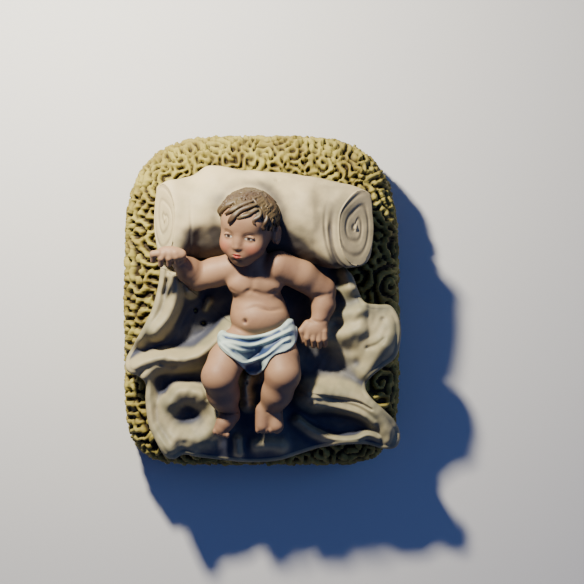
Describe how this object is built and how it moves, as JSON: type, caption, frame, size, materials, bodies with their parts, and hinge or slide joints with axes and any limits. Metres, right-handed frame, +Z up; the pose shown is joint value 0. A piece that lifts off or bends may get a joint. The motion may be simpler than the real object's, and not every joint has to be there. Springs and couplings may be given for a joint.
{
  "type": "nativity baby figurine",
  "caption": "Small painted cast crib figurine: a baby in a loincloth lying on a draped cloth and a rolled bolster over a bed of straw.",
  "frame": {"origin": "middle of the flat underside, under the middle of the figurine's box", "axes": "+Z up from the underside to the baby, +Y from the feet to the head end, +X to the baby's left hand side of the bed"},
  "size_m": [0.036, 0.043, 0.0216],
  "materials": {
    "straw": "matt painted casting, yellow-olive with dark brown crevices",
    "cloth": "matt painted casting, cream with a thin grey-green wash",
    "skin": "satin painted casting, warm skin tone",
    "hair": "satin painted casting, brown with olive highlights",
    "loincloth": "satin painted casting, pale blue-white with blue-grey folds"
  },
  "bodies": {
    "root": {"baby_on_straw_bed": "straw"}
  },
  "joints": []
}
